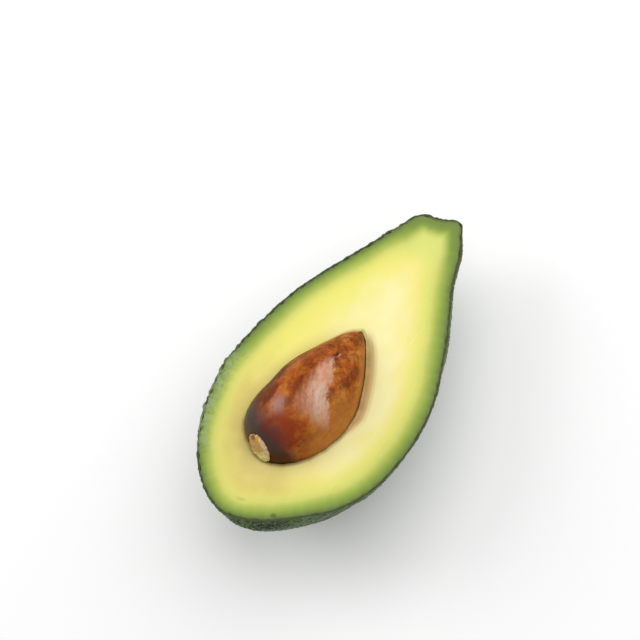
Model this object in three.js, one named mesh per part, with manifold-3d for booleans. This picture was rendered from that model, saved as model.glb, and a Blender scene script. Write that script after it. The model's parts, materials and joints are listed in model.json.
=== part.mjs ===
// A ripe avocado cut in half lengthwise, its seed still in place, lying on its peel with the cut face up.
// Millimetres, +Z up, +Y towards the stem end. The origin is the middle of the flat spot it rests on.
// The pieces are shaped in the frame of the cut: its face is z = 0, and y runs from the blunt end
// (negative) to the stem end. The group that holds them tips the half into the pose it settles in.

import * as THREE from 'three';
import { mergeVertices } from 'three/addons/utils/BufferGeometryUtils.js';
import Module from 'manifold-3d';

const wasm = await Module();
wasm.setup();

// The whole fruit. A knot of an outline is its distance along the middle line, its radius there, the
// heading of the outline in radians and how far the curve's handles reach before and after the knot.
const FRUIT_LENGTH = 116.1;
const FRUIT_RADIUS = 33.4;
const NECK_HEADING = -0.51;
const FRUIT_OUTLINE = [
  { along: 0, radius: 0, heading: Math.PI / 2, after: 13.4 },
  { along: 41, radius: FRUIT_RADIUS, heading: 0, before: 18.5, after: 11.5 },
  { along: 94.2, radius: 17.5, heading: NECK_HEADING, before: 34.5, after: 5.7 },
  { along: FRUIT_LENGTH - 1.9, radius: 7.7, heading: NECK_HEADING, before: 7.5, after: 1.2 },
  { along: FRUIT_LENGTH, radius: 4.2, heading: -Math.PI / 2, before: 1, after: 1 },
  { along: FRUIT_LENGTH, radius: 0, heading: -Math.PI / 2, before: 1 },
];
const DEPTH_SHARE = 0.96; // the fruit is a little less deep than it is wide
const BLUNT_END_Y = -53.4;
// The fruit's middle line as (x, distance from the blunt end): bowed, with a hook at the stem.
const FRUIT_SPINE = [
  [-4.7, 0],
  [-3.2, 18],
  [0.7, 46],
  [-0.4, 72],
  [-1.3, 94],
  [-1.4, 107],
  [-4, FRUIT_LENGTH],
];

// How the half rests.
const REST_PITCH = 0.075; // radians that the stem end sinks as it settles on its back
const REST_SEARCH_STEPS = 400;
const FLAT_DEPTH = 0.5; // pressed in where it rests
const FLAT_FADE = 12; // pebbles die away within this distance of the middle of the flat spot

// The peel and its pebbles.
const PEEL_THICKNESS = 0.9;
const PEBBLE_HEIGHT = 0.55;
const PEBBLE_LEAST = 0.55; // share of that height that the lowest pebble has
const FURROW_MOST = 0.3; // share of that height that the skin between pebbles reaches
const PEBBLE_STRAY = 0.3; // how far a pebble strays, as a share of the distance to the next point
const PEBBLE_RANDOM_START = 7;
const PEBBLE_RINGS = 36; // rings of lattice points from the underside to the cut edge, twice SMOOTH_RINGS
const SMOOTH_RINGS = 18;
const GAP = 0.3; // between pieces that touch

// The dimple at the stem end and the scar that the stem left in it.
const DIMPLE_DEPTH = 1.1;
const DIMPLE_RADIUS = 3.6;
const DIMPLE_SMOOTHING = 0.7; // share of the pebbles' height that is lost in the dimple
const SCAR_BELOW_CUT = 3.7;
const SCAR_RADIUS = 2.3;
const SCAR_TAPER = 0.9;
const SCAR_ROOT = 0.85; // how deep it sits in the peel
const SCAR_RISE = 0.55;
const SCAR_CLEAR_ABOVE = 4;
const SCAR_SIDES = 20;

// The seed: an egg drawn out towards the stem, with a low ridge along it. Its base turns to the left.
const SEED_LENGTH = 48;
const SEED_RADIUS = 14.3;
const SEED_OUTLINE = [
  { along: 0, radius: 0, heading: Math.PI / 2, after: 12.4 },
  { along: 25.3, radius: SEED_RADIUS, heading: 0, before: 14.7, after: 4 },
  { along: SEED_LENGTH, radius: 0, heading: -Math.PI / 2, before: 4.1 },
];
const SEED_BASE_Y = -29.8;
const SEED_SPINE = [[-11.4, 0], [-1.8, 14.4], [-0.8, 31.2], [-1.9, SEED_LENGTH]];
const SEED_SIDES = 36;
const SEED_STEPS = 20;
const RIDGE_HEIGHT = 0.45;
const RIDGE_TURN = 1.25; // radians round the seed, up from the right edge of the cut
const RIDGE_WIDTH = 0.22;
const SEED_SLACK = 0.4; // between the seed and its hollow

// The torn scrap of seed coat that lies on the seed's base: the part of a thin layer round the seed
// that an egg-shaped cutter leaves, from below the seed's surface to above it.
const SCRAP_RISE = 0.5;
const SCRAP_DEPTH = 0.6;
const SCRAP_CUTTER = new THREE.Vector3(3.4, 5.5, 5.2);
const SCRAP_CENTRE = new THREE.Vector3(-4.3, -31.5, 4.8);
const SCRAP_TILT = -0.6; // radians about Y, so that its top leans to the left
const SCRAP_SIDES = 24;
const SCRAP_STEPS = 16;

/** Seeded random numbers from 0 to 1 (mulberry32), so that every run gives the same pebbles. */
function randomNumbers(start) {
  let state = start;
  return () => {
    state = (state + 0x6d2b79f5) | 0;
    let mixed = Math.imul(state ^ (state >>> 15), 1 | state);
    mixed = (mixed + Math.imul(mixed ^ (mixed >>> 7), 61 | mixed)) ^ mixed;
    return ((mixed ^ (mixed >>> 14)) >>> 0) / 2 ** 32;
  };
}

/** The outline through knots, moved out by slack, as a path of (distance along, radius). */
function outlinePath(knots, slack) {
  const at = (knot, reach) => [
    knot.along - slack * Math.sin(knot.heading) + reach * Math.cos(knot.heading),
    knot.radius + slack * Math.cos(knot.heading) + reach * Math.sin(knot.heading),
  ];
  const path = new THREE.Path();
  path.moveTo(...at(knots[0], 0));
  for (let i = 1; i < knots.length; i += 1) {
    const [from, to] = [knots[i - 1], knots[i]];
    path.bezierCurveTo(...at(from, from.after), ...at(to, -to.before), ...at(to, 0));
  }
  return path;
}

/** The curve through a middle line given as (x, distance from its start), which starts at startY. */
function spineOf(middleLine, startY) {
  return new THREE.SplineCurve(middleLine.map(([x, along]) => new THREE.Vector2(x, along + startY)));
}

/** The place a distance along a middle line of a length, out to its right by side and at a height. */
function besideSpine(spine, length, along, side, height) {
  const onSpine = THREE.MathUtils.clamp(along / length, 0, 1);
  const middle = spine.getPointAt(onSpine);
  const ahead = spine.getTangentAt(onSpine);
  middle.addScaledVector(ahead, along - onSpine * length);
  return new THREE.Vector3(middle.x + side * ahead.y, middle.y - side * ahead.x, height);
}

const fruitOutline = outlinePath(FRUIT_OUTLINE, 0);
const fruitSpine = spineOf(FRUIT_SPINE, BLUNT_END_Y);
const seedSpine = spineOf(SEED_SPINE, SEED_BASE_Y);
const stemEnd = fruitSpine.getPointAt(1);
const stemAxis = fruitSpine.getTangentAt(1);
const scarCentre = new THREE.Vector3(stemEnd.x, stemEnd.y, -SCAR_BELOW_CUT);

/** How far the skin sinks at a place, in the dimple round the stem scar. */
function dimpleAt(place) {
  return DIMPLE_DEPTH * Math.exp(-((place.distanceTo(scarCentre) / DIMPLE_RADIUS) ** 2));
}

/**
 * The point of the fruit's outside that a direction of the lower half ball stands for, moved out by
 * raise. The ball's y poles are the two ends of the fruit.
 */
function fruitPoint(direction, raise) {
  const along = Math.acos(THREE.MathUtils.clamp(-direction.y, -1, 1)) / Math.PI;
  const around = Math.atan2(-direction.z, direction.x);
  const outline = fruitOutline.getPointAt(along);
  const course = fruitOutline.getTangentAt(along);
  const station = outline.x - course.y * raise;
  const radius = along === 0 || along === 1 ? 0 : outline.y + course.x * raise;
  const depth = direction.z === 0 ? 0 : DEPTH_SHARE * radius * Math.sin(around);
  const point = besideSpine(fruitSpine, FRUIT_LENGTH, station, radius * Math.cos(around), -depth);
  const sunk = dimpleAt(point);
  point.x -= sunk * stemAxis.x;
  point.y -= sunk * stemAxis.y;
  return point;
}

/** Where a ring of the lattice begins in its list of points. */
function ringStart(ring) {
  return ring === 0 ? 0 : 1 + 3 * ring * (ring - 1);
}

/**
 * A triangular lattice over the lower half ball: a point at the bottom, then ring k of 6k points, up to
 * the cut edge. shape(direction, ring, place in the ring) gives each lattice point's place in space.
 */
function halfBall(rings, shape) {
  const points = [shape(new THREE.Vector3(0, 0, -1), 0, 0)];
  const triangles = [];
  for (let ring = 1; ring <= rings; ring += 1) {
    const height = -Math.sin((Math.PI / 2) * (1 - ring / rings));
    const reach = Math.sqrt(1 - height * height);
    for (let i = 0; i < 6 * ring; i += 1) {
      const turn = (Math.PI * i) / (3 * ring);
      const z = ring === rings ? 0 : height;
      points.push(shape(new THREE.Vector3(reach * Math.cos(turn), reach * Math.sin(turn), z), ring, i));
    }
    const outer = (i) => ringStart(ring) + (i % (6 * ring));
    const inner = (i) => ringStart(ring - 1) + (i % Math.max(6 * (ring - 1), 1));
    for (let sector = 0; sector < 6; sector += 1) {
      for (let i = 0; i < ring; i += 1) {
        const out = sector * ring + i;
        const into = sector * (ring - 1) + i;
        triangles.push([outer(out + 1), outer(out), inner(into)]);
        if (i < ring - 1) triangles.push([inner(into), inner(into + 1), outer(out + 1)]);
      }
    }
  }
  return { points, triangles };
}

/** A geometry from points and triangles. */
function geometryOf(points, triangles) {
  const geometry = new THREE.BufferGeometry();
  geometry.setAttribute('position', new THREE.Float32BufferAttribute(points.flatMap((p) => p.toArray()), 3));
  geometry.setIndex(triangles.flat());
  return geometry;
}

/** A closed geometry as a manifold-3d solid. */
function solidOf(geometry) {
  const bare = geometry.clone();
  bare.deleteAttribute('normal');
  bare.deleteAttribute('uv');
  const merged = mergeVertices(bare, 1e-4);
  const vertProperties = merged.attributes.position.array;
  const triVerts = new Uint32Array(merged.index.array);
  return new wasm.Manifold(new wasm.Mesh({ numProp: 3, vertProperties, triVerts }));
}

/** A manifold-3d solid as a geometry. */
function meshOf(solid) {
  const mesh = solid.getMesh();
  const result = new THREE.BufferGeometry();
  result.setAttribute('position', new THREE.Float32BufferAttribute(mesh.vertProperties, 3));
  result.setIndex(Array.from(mesh.triVerts));
  return result;
}

/** A geometry with other geometries cut out of it. */
function cutBy(geometry, ...cutters) {
  return meshOf(cutters.reduce((rest, cutter) => rest.subtract(solidOf(cutter)), solidOf(geometry)));
}

/** The matrix that tips the cut frame into the resting pose, with the flat spot's middle at the origin. */
function restMatrix() {
  const pitch = new THREE.Matrix4().makeRotationX(-REST_PITCH);
  let lowest = new THREE.Vector3(0, 0, Infinity);
  for (let i = 0; i <= REST_SEARCH_STEPS; i += 1) {
    const turn = (Math.PI * i) / REST_SEARCH_STEPS;
    const direction = new THREE.Vector3(0, -Math.cos(turn), -Math.sin(turn));
    const place = fruitPoint(direction, 0).applyMatrix4(pitch);
    if (place.z < lowest.z) lowest = place;
  }
  const settle = new THREE.Matrix4().makeTranslation(-lowest.x, -lowest.y, -lowest.z - FLAT_DEPTH);
  return settle.multiply(pitch);
}

const restPose = restMatrix();
const cutPose = restPose.clone().invert();

/** A direction of the half ball, strayed sideways at random by up to reach radians each way. */
function stray(direction, reach, random) {
  const east = new THREE.Vector3(-direction.y, direction.x, 0);
  if (east.lengthSq() === 0) east.set(1, 0, 0);
  east.normalize();
  const north = new THREE.Vector3().crossVectors(direction, east);
  const strayed = direction.clone();
  strayed.addScaledVector(east, reach * (2 * random() - 1));
  strayed.addScaledVector(north, reach * (2 * random() - 1));
  return strayed.normalize();
}

/**
 * A point of the peel's outside, pressed flat where the fruit rests. Every third point of the lattice
 * is the top of a pebble, with six low points round it.
 */
function peelPoint(random, direction, ring, i) {
  const isPebble = (ring + (i % Math.max(ring, 1))) % 3 === 0;
  const share = random();
  const height = isPebble ? PEBBLE_LEAST + (1 - PEBBLE_LEAST) * share : FURROW_MOST * share * share;
  const reach = (PEBBLE_STRAY * Math.PI) / 2 / PEBBLE_RINGS;
  const strayed = ring === PEBBLE_RINGS ? direction : stray(direction, reach, random);
  const base = fruitPoint(strayed, 0);
  const inDimple = Math.min(1, (2 * dimpleAt(base)) / DIMPLE_DEPTH);
  const fromRest = base.applyMatrix4(restPose).length();
  const offTheFlat = THREE.MathUtils.smoothstep(fromRest, FLAT_FADE / 2, FLAT_FADE);
  const growth = (1 - DIMPLE_SMOOTHING * inDimple) * offTheFlat;
  const placed = fruitPoint(strayed, PEBBLE_HEIGHT * height * growth).applyMatrix4(restPose);
  placed.z = Math.max(placed.z, 0);
  return placed.applyMatrix4(cutPose);
}

/** The thin skin: pebbled outside, smooth inside, open along the cut, holed where the stem grew. */
function peelGeometry() {
  const random = randomNumbers(PEBBLE_RANDOM_START);
  const outside = halfBall(PEBBLE_RINGS, (direction, ring, i) => peelPoint(random, direction, ring, i));
  const inside = halfBall(SMOOTH_RINGS, (direction) => fruitPoint(direction, -PEEL_THICKNESS));
  const offset = outside.points.length;
  const triangles = [...outside.triangles];
  for (const [a, b, c] of inside.triangles) triangles.push([c + offset, b + offset, a + offset]);
  const edge = 6 * SMOOTH_RINGS;
  for (let i = 0; i < edge; i += 1) {
    const inner = offset + ringStart(SMOOTH_RINGS) + i;
    const innerNext = offset + ringStart(SMOOTH_RINGS) + ((i + 1) % edge);
    const outer = ringStart(PEBBLE_RINGS) + 2 * i;
    const outerNext = ringStart(PEBBLE_RINGS) + ((2 * i + 2) % (2 * edge));
    triangles.push([inner, outer, outer + 1]);
    triangles.push([inner, outer + 1, innerNext]);
    triangles.push([innerNext, outer + 1, outerNext]);
  }
  const shell = geometryOf([...outside.points, ...inside.points], triangles);
  return cutBy(shell, scarButton(SCAR_RADIUS + GAP, PEEL_THICKNESS + 1, SCAR_CLEAR_ABOVE));
}

/** The half's flesh, with hollows for the seed, the scrap of its coat and the root of the stem scar. */
function fleshGeometry() {
  const outside = halfBall(SMOOTH_RINGS, (direction) => fruitPoint(direction, -PEEL_THICKNESS - GAP));
  const edge = 6 * SMOOTH_RINGS;
  const middle = outside.points.length;
  const triangles = [...outside.triangles];
  for (let i = 0; i < edge; i += 1) {
    triangles.push([middle, ringStart(SMOOTH_RINGS) + i, ringStart(SMOOTH_RINGS) + ((i + 1) % edge)]);
  }
  const half = geometryOf([...outside.points, new THREE.Vector3(0, 0, 0)], triangles);
  const scarRoot = scarButton(SCAR_RADIUS + GAP, SCAR_ROOT + GAP, SCAR_CLEAR_ABOVE);
  return cutBy(half, seedBody(SEED_SLACK), scrapBody(GAP), scarRoot);
}

/** The seed's whole body, swollen by slack. */
function seedBody(slack) {
  const outline = outlinePath(SEED_OUTLINE, slack);
  const points = [];
  for (let i = 0; i <= SEED_STEPS; i += 1) {
    const { x: along, y: radius } = outline.getPointAt(i / SEED_STEPS);
    points.push(new THREE.Vector2(i % SEED_STEPS === 0 ? 0 : radius, along));
  }
  const body = new THREE.LatheGeometry(points, SEED_SIDES);
  const place = body.attributes.position;
  for (let i = 0; i < place.count; i += 1) {
    const [x, z] = [place.getX(i), place.getZ(i)];
    const away = (Math.atan2(z, x) - RIDGE_TURN) / RIDGE_WIDTH;
    const swell = 1 + (RIDGE_HEIGHT / SEED_RADIUS) * Math.exp(-away * away);
    const bent = besideSpine(seedSpine, SEED_LENGTH, place.getY(i), x * swell, z * swell);
    place.setXYZ(i, bent.x, bent.y, bent.z);
  }
  return body;
}

/** The seed, sunk where the scrap of its coat lies. */
function seedGeometry() {
  return cutBy(seedBody(0), scrapBody(GAP));
}

/** The scrap of seed coat, swollen by slack. */
function scrapBody(slack) {
  const cutter = new THREE.SphereGeometry(1, SCRAP_SIDES, SCRAP_STEPS);
  cutter.scale(SCRAP_CUTTER.x + slack, SCRAP_CUTTER.y, SCRAP_CUTTER.z + slack);
  cutter.rotateY(SCRAP_TILT);
  cutter.translate(SCRAP_CENTRE.x, SCRAP_CENTRE.y, SCRAP_CENTRE.z);
  const upTo = solidOf(seedBody(SCRAP_RISE + slack));
  return cutBy(meshOf(upTo.intersect(solidOf(cutter))), seedBody(-SCRAP_DEPTH - slack));
}

/** A round button about the stem axis, from a depth below the floor of the dimple to a height above it. */
function scarButton(radius, below, above) {
  const body = new THREE.CylinderGeometry(radius * SCAR_TAPER, radius, above + below, SCAR_SIDES);
  body.translate(0, (above - below) / 2 - DIMPLE_DEPTH, 0);
  body.rotateZ(Math.atan2(-stemAxis.x, stemAxis.y));
  return body.translate(scarCentre.x, scarCentre.y, scarCentre.z);
}

/** One named piece of the fruit. */
function piece(name, geometry, color, roughness) {
  const mesh = new THREE.Mesh(geometry, new THREE.MeshStandardMaterial({ color, roughness, metalness: 0 }));
  mesh.name = name;
  return mesh;
}

const avocadoHalf = new THREE.Group();
avocadoHalf.add(piece('peel', peelGeometry(), 0x2f4a2a, 0.45));
avocadoHalf.add(piece('flesh', fleshGeometry(), 0xe9e08a, 0.4));
avocadoHalf.add(piece('seed', seedGeometry(), 0x8a4a26, 0.3));
avocadoHalf.add(piece('seed_coat_scrap', scrapBody(0), 0xd9b27c, 0.7));
avocadoHalf.add(piece('stem_scar', scarButton(SCAR_RADIUS, SCAR_ROOT, SCAR_RISE), 0xb08a5c, 0.8));
avocadoHalf.applyMatrix4(restPose);

const root = new THREE.Group();
root.add(avocadoHalf);

export default root;
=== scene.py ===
"""An avocado cut in half lengthwise, its seed left in, in a small studio."""

import json
import logging
import math
from dataclasses import dataclass, field
from enum import Enum
from typing import Mapping, Sequence, Union

import bpy
import numpy as np
from mathutils import Matrix, Vector

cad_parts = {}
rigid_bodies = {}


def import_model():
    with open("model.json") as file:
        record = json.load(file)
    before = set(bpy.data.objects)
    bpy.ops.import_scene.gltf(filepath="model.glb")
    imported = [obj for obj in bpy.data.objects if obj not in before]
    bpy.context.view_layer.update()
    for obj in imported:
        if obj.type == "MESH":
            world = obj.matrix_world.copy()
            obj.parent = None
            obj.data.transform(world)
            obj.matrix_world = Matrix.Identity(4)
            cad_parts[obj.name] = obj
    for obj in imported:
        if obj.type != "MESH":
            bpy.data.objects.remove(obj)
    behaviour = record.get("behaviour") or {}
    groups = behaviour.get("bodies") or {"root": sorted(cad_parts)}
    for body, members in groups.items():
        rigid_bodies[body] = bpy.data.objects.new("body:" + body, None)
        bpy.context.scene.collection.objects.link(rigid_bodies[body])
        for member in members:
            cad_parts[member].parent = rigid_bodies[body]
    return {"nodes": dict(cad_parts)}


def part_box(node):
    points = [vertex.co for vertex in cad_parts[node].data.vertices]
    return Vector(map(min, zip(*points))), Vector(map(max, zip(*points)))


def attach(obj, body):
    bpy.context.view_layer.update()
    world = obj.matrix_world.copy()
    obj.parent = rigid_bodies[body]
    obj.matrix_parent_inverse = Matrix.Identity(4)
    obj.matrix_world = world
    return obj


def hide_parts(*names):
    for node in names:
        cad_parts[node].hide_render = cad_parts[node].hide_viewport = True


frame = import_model()

MM = 0.001
WELD = 0.002 * MM  # vertices closer than this become one
CRISP = 50.0  # edges sharper than this, in degrees, stay crisp
BODY = "root"

log = logging.getLogger("avocado")
Number = Union[int, float]
Colour = tuple[float, float, float]
Stops = Sequence[tuple[float, Colour]]
Coats = tuple[tuple["Wire", "Feed"], ...]


class Node(Enum):
    """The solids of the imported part."""

    PEEL = "peel"
    FLESH = "flesh"
    SEED = "seed"
    SCRAP = "seed_coat_scrap"
    SCAR = "stem_scar"


class Slot(Enum):
    """The finishes that the part's record names."""

    PEEL = "peel"
    FLESH = "flesh"
    SEED = "seed"
    SEED_COAT = "seed_coat"
    SCAR = "stem_scar"


class Cell(Enum):
    """What a cell pattern measures: from each cell's middle, or in from its border."""

    MIDDLE = "F1"
    BORDER = "DISTANCE_TO_EDGE"


def paint(code: str) -> Colour:
    """Turns a colour as painters write it into the linear values that a finish takes.

    Args:
        code: six hexadecimal digits, red first.

    Returns:
        Linear red, green and blue.
    """
    parts = [int(code[k : k + 2], 16) / 255 for k in (0, 2, 4)]
    return tuple(
        part / 12.92 if part <= 0.04045 else ((part + 0.055) / 1.055) ** 2.4
        for part in parts
    )


class Wire:
    """A value, a vector or a colour on its way through a node tree."""

    def __init__(self, graph: "Graph", socket: bpy.types.NodeSocket) -> None:
        """Takes hold of an output socket.

        Args:
            graph: the tree that the socket is in.
            socket: the output socket that carries the value.
        """
        self.graph = graph
        self.socket = socket

    @property
    def wide(self) -> bool:
        """True for a vector or a colour, False for a plain value."""
        return self.socket.type in ("VECTOR", "RGBA")

    def _sum(self, operation: str, first: "Feed", second: "Feed") -> "Wire":
        """Adds the maths node that suits the two terms.

        Args:
            operation: the node's operation.
            first: the first term.
            second: the second term.

        Returns:
            The result.
        """
        terms = (first, second)
        plain = [not t.wide if isinstance(t, Wire) else not isinstance(t, tuple) for t in terms]
        settings = {"operation": operation}
        if all(plain):
            return self.graph.add("ShaderNodeMath", settings, {0: first, 1: second})
        if operation == "MULTIPLY" and any(plain):
            number, vector = terms if plain[0] else terms[::-1]
            values = {0: vector, 3: number}
            return self.graph.add("ShaderNodeVectorMath", {"operation": "SCALE"}, values)
        values = {k: (t,) * 3 if isinstance(t, (int, float)) else t for k, t in enumerate(terms)}
        return self.graph.add("ShaderNodeVectorMath", settings, values)

    def __add__(self, other: "Feed") -> "Wire":
        """self + other."""
        return self._sum("ADD", self, other)

    def __radd__(self, other: "Feed") -> "Wire":
        """other + self."""
        return self._sum("ADD", other, self)

    def __sub__(self, other: "Feed") -> "Wire":
        """self - other."""
        return self._sum("SUBTRACT", self, other)

    def __rsub__(self, other: "Feed") -> "Wire":
        """other - self."""
        return self._sum("SUBTRACT", other, self)

    def __mul__(self, other: "Feed") -> "Wire":
        """self * other."""
        return self._sum("MULTIPLY", self, other)

    def __rmul__(self, other: "Feed") -> "Wire":
        """other * self."""
        return self._sum("MULTIPLY", other, self)

    def __pow__(self, power: Number) -> "Wire":
        """self to a power."""
        return self._sum("POWER", self, power)

    def twin(self, out: Union[int, str]) -> "Wire":
        """Another output of the node that this value comes from."""
        return Wire(self.graph, self.socket.node.outputs[out])

    def call(self, operation: str, other: "Feed | None" = None) -> "Wire":
        """Any other one or two term operation on plain values, such as SINE or ARCTAN2."""
        values = {0: self} if other is None else {0: self, 1: other}
        return self.graph.add("ShaderNodeMath", {"operation": operation}, values)

    def least(self, other: "Feed") -> "Wire":
        """The smaller of self and other."""
        return self.call("MINIMUM", other)

    def most(self, other: "Feed") -> "Wire":
        """The larger of self and other."""
        return self.call("MAXIMUM", other)

    def length(self) -> "Wire":
        """This vector's length."""
        settings = {"operation": "LENGTH"}
        return self.graph.add("ShaderNodeVectorMath", settings, {0: self}, "Value")

    def unit(self) -> "Wire":
        """This vector's heading, with a length of 1."""
        return self.graph.add("ShaderNodeVectorMath", {"operation": "NORMALIZE"}, {0: self})

    def step(self, low: Number, high: Number) -> "Wire":
        """0 below low and 1 above high, with a smooth rise between; low may be the larger.

        Args:
            low: where the rise starts.
            high: where it ends.

        Returns:
            A value from 0 to 1.
        """
        ends = (low, high, 0.0, 1.0) if low < high else (high, low, 1.0, 0.0)
        settings = {"interpolation_type": "SMOOTHSTEP"}
        return self.graph.add("ShaderNodeMapRange", settings, dict(enumerate((self, *ends))))

    def bell(self, middle: Number, reach: Number) -> "Wire":
        """1 at middle, falling smoothly to 0 at reach on both sides."""
        return (self - middle).call("ABSOLUTE").step(reach, 0.0)

    def span(self, start: Number, full: Number, waning: Number, end: Number) -> "Wire":
        """0 up to start, 1 from full to waning and 0 from end on, with smooth slopes."""
        return self.step(start, full) * self.step(end, waning)

    def ramp(self, stops: Stops) -> "Wire":
        """The colours of a ramp along this value, which runs from 0 to 1."""
        return self.graph.add("ShaderNodeValToRGB", {"stops": stops}, {0: self})

    def mix(self, low: "Feed", high: "Feed") -> "Wire":
        """Colours mixed by this value, low at 0 and high at 1."""
        values = {0: self, 6: low, 7: high}
        return self.graph.add("ShaderNodeMix", {"data_type": "RGBA"}, values, 2)

    def under(self, *coats: "tuple[Wire, Feed]") -> "Wire":
        """This colour with others laid over it, one after the other.

        Args:
            coats: pairs of a mask, 1 where the coat hides what is below, and its colour.

        Returns:
            The colour on top.
        """
        colour = self
        for mask, coat in coats:
            colour = mask.mix(colour, coat)
        return colour


Feed = Union[Wire, int, float, Colour]


class Graph:
    """A node tree of a finish or of a relief, built one node at a time."""

    def __init__(self, tree: bpy.types.NodeTree) -> None:
        """Takes the node tree to build in."""
        self.tree = tree

    def add(
        self,
        kind: str,
        settings: Mapping[str, object] | None = None,
        values: Mapping[Union[int, str], object] | None = None,
        out: Union[int, str] = 0,
    ) -> Wire:
        """Adds one node.

        Args:
            kind: the node's type.
            settings: its properties, and "stops" for a ramp's colours.
            values: what its input sockets hold or are linked to.
            out: the output that is wanted.

        Returns:
            That output.
        """
        node = self.tree.nodes.new(kind)
        for name, value in (settings or {}).items():
            if name == "stops":
                self._colours(node.color_ramp, value)
            else:
                setattr(node, name, value)
        for name, value in (values or {}).items():
            self.feed(node.inputs[name], value)
        return Wire(self, node.outputs[out])

    def feed(self, socket: bpy.types.NodeSocket, value: object) -> None:
        """Links a wire to a socket, or sets the socket's own value.

        Args:
            socket: the socket.
            value: the wire, or the value.
        """
        if isinstance(value, Wire):
            self.tree.links.new(value.socket, socket)
        elif socket.type == "RGBA" and len(value) == 3:
            socket.default_value = (*value, 1.0)
        elif socket.type == "VECTOR" and isinstance(value, (int, float)):
            socket.default_value = (value,) * 3
        else:
            socket.default_value = value

    @staticmethod
    def _colours(ramp: bpy.types.ColorRamp, stops: Stops) -> None:
        """Fills a colour ramp.

        Args:
            ramp: the ramp.
            stops: pairs of a place from 0 to 1 and a colour.
        """
        while len(ramp.elements) < len(stops):
            ramp.elements.new(1.0)
        for element, (place, colour) in zip(ramp.elements, stops):
            element.position = place
            element.color = (*colour, 1.0)

    def noise(
        self, at: Wire, size: Number, detail: Number = 2.0, rough: Number = 0.5, out: int = 0
    ) -> Wire:
        """Cloudy noise.

        Args:
            at: where it is read, in millimetres.
            size: how large a cloud is, in millimetres.
            detail: how many finer layers it has.
            rough: how strong those are.
            out: 0 for a value, 1 for a colour.

        Returns:
            The noise, about 0.5 on average.
        """
        values = {"Vector": at, "Scale": 1.0 / size, "Detail": detail, "Roughness": rough}
        return self.add("ShaderNodeTexNoise", None, values, out)

    def stray(self, at: Wire, size: Number, reach: Number) -> Wire:
        """A place moved by noise, so that a pattern read there isn't regular."""
        return at + (self.noise(at, size, 1.0, out=1) - 0.5) * (2.0 * reach)

    def cells(self, at: Wire, size: Number, measure: Cell = Cell.MIDDLE) -> Wire:
        """A pattern of irregular cells.

        Args:
            at: where it is read, in millimetres.
            size: how large a cell is, in millimetres.
            measure: what it measures.

        Returns:
            The distance, in cells.
        """
        values = {"Vector": at, "Scale": 1.0 / size}
        return self.add("ShaderNodeTexVoronoi", {"feature": measure.value}, values, "Distance")

    def join(self, x: Feed, y: Feed, z: Feed) -> Wire:
        """A vector from its three parts."""
        return self.add("ShaderNodeCombineXYZ", None, {0: x, 1: y, 2: z})

    def parts(self, vector: Wire) -> tuple[Wire, Wire, Wire]:
        """A vector's three parts."""
        x = self.add("ShaderNodeSeparateXYZ", None, {0: vector})
        return x, x.twin(1), x.twin(2)


@dataclass(frozen=True)
class CutFrame:
    """The half's own axes: x across the cut, y from blunt end to stem, z out of the cut.

    Args:
        origin: where its zero is in the row's frame, in millimetres.
        pitch: how far the stem end is tipped down, in radians.
    """

    origin: tuple[float, float, float] = (-0.796166, 4.338569, 31.120477)
    pitch: float = 0.075

    @property
    def turn(self) -> Matrix:
        """The turn from these axes to the row's."""
        return Matrix.Rotation(-self.pitch, 3, "X")

    def point(self, x: float, y: float, z: float) -> Vector:
        """A point of these axes, in millimetres, as the row's, in metres."""
        return (self.turn @ Vector((x, y, z)) + Vector(self.origin)) * MM

    def read(self, graph: Graph, position: Wire) -> Wire:
        """A position in the row's frame, in metres, as these axes' in millimetres.

        Args:
            graph: the tree that it is read in.
            position: the position.

        Returns:
            The place on these axes.
        """
        shifted = position * (1.0 / MM) - self.origin
        return graph.add(
            "ShaderNodeVectorRotate",
            {"rotation_type": "X_AXIS"},
            {"Vector": shifted, "Center": (0.0, 0.0, 0.0), "Angle": self.pitch},
        )

    def heights(self, piece: bpy.types.Object) -> np.ndarray:
        """How far each vertex stands above the cut face, in millimetres."""
        return (points_of(piece) / MM - np.array(self.origin)) @ np.array(self.turn)[:, 2]


CUT = CutFrame()


def points_of(piece: bpy.types.Object) -> np.ndarray:
    """A mesh's vertices, one row each, in metres.

    Args:
        piece: the mesh.

    Returns:
        The vertices' places.
    """
    flat = np.empty(len(piece.data.vertices) * 3)
    piece.data.vertices.foreach_get("co", flat)
    return flat.reshape(-1, 3)


def place_points(piece: bpy.types.Object, points: np.ndarray) -> None:
    """Puts a mesh's vertices at the given places, in metres."""
    piece.data.vertices.foreach_set("co", points.ravel())
    piece.data.update()


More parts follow.
